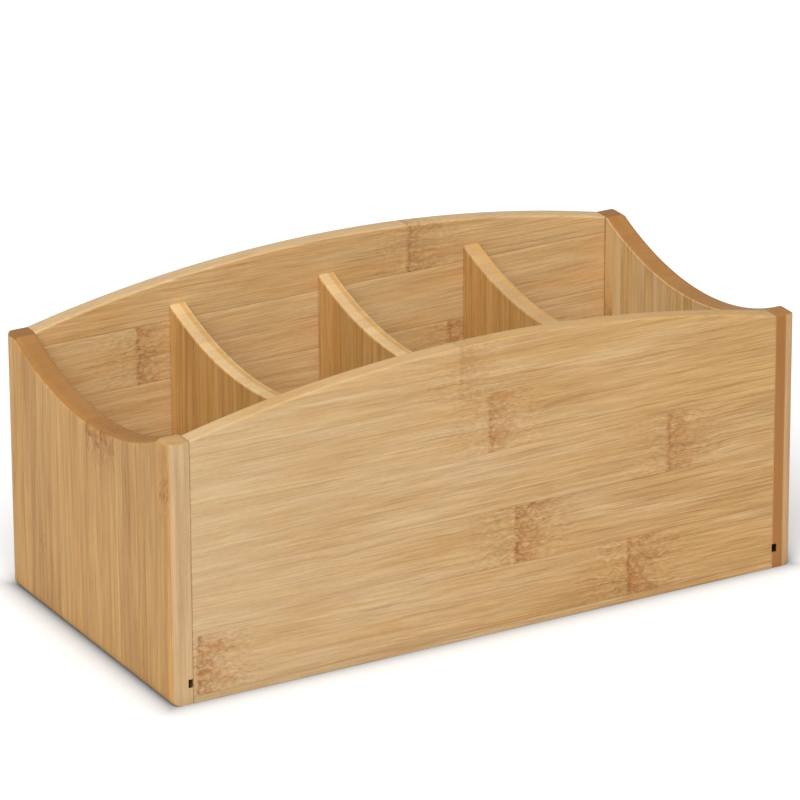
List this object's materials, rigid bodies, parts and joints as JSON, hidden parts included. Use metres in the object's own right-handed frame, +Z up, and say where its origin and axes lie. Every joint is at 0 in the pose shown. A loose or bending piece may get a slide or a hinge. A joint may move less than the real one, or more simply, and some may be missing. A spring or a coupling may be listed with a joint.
{
  "type": "desk organiser",
  "caption": "Open wooden desk organiser box with arched front and back walls, scooped end panels and scooped dividers that make upright compartments.",
  "frame": {"origin": "on the supporting surface, under the middle of the box", "axes": "+Z up; +X along the long side, to the right seen from the front; the front panel faces -Y"},
  "size_m": [0.3, 0.148, 0.132],
  "materials": {
    "bamboo_wall": "satin clear lacquer",
    "bamboo_end": "satin clear lacquer",
    "bamboo_dowel": "raw"
  },
  "bodies": {
    "root": {"back_panel": "bamboo_wall", "divider_left": "bamboo_wall", "divider_middle": "bamboo_wall", "divider_right": "bamboo_wall", "dowel_back_left_1": "bamboo_dowel", "dowel_back_left_2": "bamboo_dowel", "dowel_back_left_3": "bamboo_dowel", "dowel_back_right_1": "bamboo_dowel", "dowel_back_right_2": "bamboo_dowel", "dowel_back_right_3": "bamboo_dowel", "dowel_divider_left_back_1": "bamboo_dowel", "dowel_divider_left_back_2": "bamboo_dowel", "dowel_divider_left_front_1": "bamboo_dowel", "dowel_divider_left_front_2": "bamboo_dowel", "dowel_divider_middle_back_1": "bamboo_dowel", "dowel_divider_middle_back_2": "bamboo_dowel", "dowel_divider_middle_front_1": "bamboo_dowel", "dowel_divider_middle_front_2": "bamboo_dowel", "dowel_divider_right_back_1": "bamboo_dowel", "dowel_divider_right_back_2": "bamboo_dowel", "dowel_divider_right_front_1": "bamboo_dowel", "dowel_divider_right_front_2": "bamboo_dowel", "dowel_front_left_1": "bamboo_dowel", "dowel_front_left_2": "bamboo_dowel", "dowel_front_left_3": "bamboo_dowel", "dowel_front_right_1": "bamboo_dowel", "dowel_front_right_2": "bamboo_dowel", "dowel_front_right_3": "bamboo_dowel", "floor_panel": "bamboo_wall", "front_panel": "bamboo_wall", "left_end_panel": "bamboo_end", "right_end_panel": "bamboo_end"}
  },
  "joints": []
}
